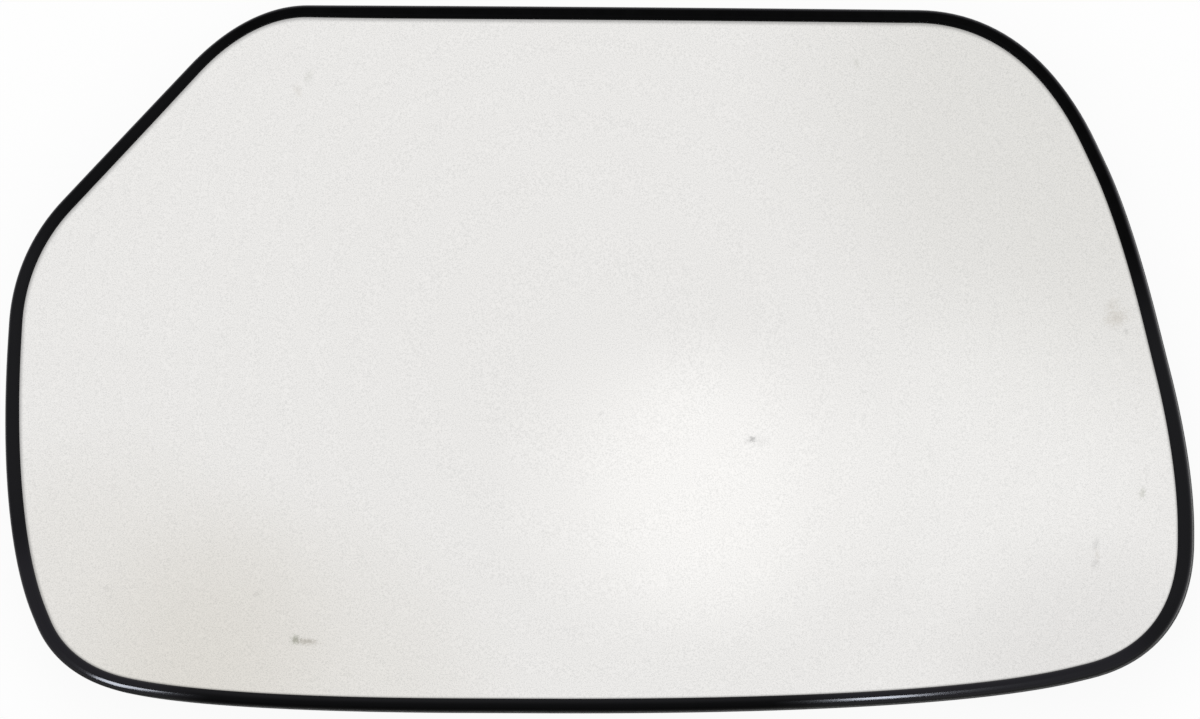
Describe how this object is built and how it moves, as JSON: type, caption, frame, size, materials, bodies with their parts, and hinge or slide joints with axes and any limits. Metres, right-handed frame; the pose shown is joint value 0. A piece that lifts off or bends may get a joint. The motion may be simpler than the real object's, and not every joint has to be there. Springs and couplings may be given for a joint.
{
  "type": "car door mirror glass",
  "caption": "Convex mirror glass with a slanted corner, bonded into a thin black plastic backing plate that wraps its edge and has a snap ring on its back.",
  "frame": {"origin": "middle of the width and height, at the mouth of the snap ring on the back, which the part stands on", "axes": "+X along the width, away from the slanted corner; +Y up the mirror's height; +Z out of the mirror's face"},
  "size_m": [0.1915, 0.114, 0.0144],
  "materials": {
    "mirror": "polished",
    "foam": "matt closed-cell foam tape",
    "plastic": "satin moulded"
  },
  "bodies": {
    "root": {"mirror_glass": "mirror", "foam_pad": "foam", "backing_plate": "plastic", "snap_ring": "plastic"}
  },
  "joints": []
}
